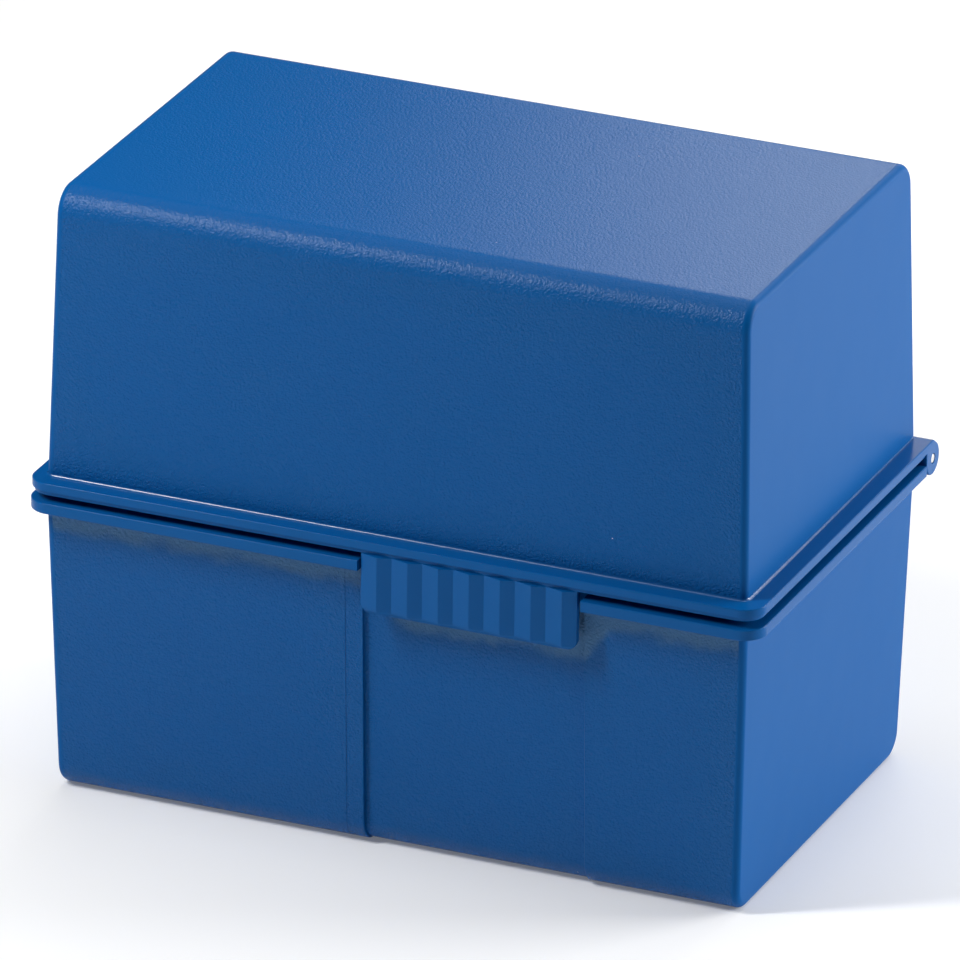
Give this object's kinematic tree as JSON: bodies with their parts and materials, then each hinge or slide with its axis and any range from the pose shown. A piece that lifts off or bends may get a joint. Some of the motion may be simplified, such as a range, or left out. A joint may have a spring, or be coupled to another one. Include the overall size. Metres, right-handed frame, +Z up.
{
  "type": "index card box",
  "caption": "Hinged index card box of moulded plastic for A6 cards: deep base, deep lid with a ribbed front grip, and a steel wire hinge along the back.",
  "frame": {"origin": "middle of the flat underside", "axes": "+X along the long front wall, +Y to the hinge at the back, +Z up"},
  "size_m": [0.1646, 0.1039, 0.1344],
  "materials": {
    "base_plastic": "injection moulded, fine leather grain on the long faces, satin ends, polished rim",
    "lid_plastic": "injection moulded, fine leather grain on top and front, satin ends, polished rim and grip",
    "hinge_steel": "bright drawn wire, cut ends"
  },
  "bodies": {
    "base": {"base_shell": "base_plastic", "hinge_pin": "hinge_steel"},
    "lid": {"lid_shell": "lid_plastic"}
  },
  "joints": [
    {"name": "lid_hinge", "type": "hinge", "parent": "base", "child": "lid", "pos_m": [0, 0.04626, 0.0672], "axis": [-1, 0, 0], "range_deg": [0, 100]}
  ]
}
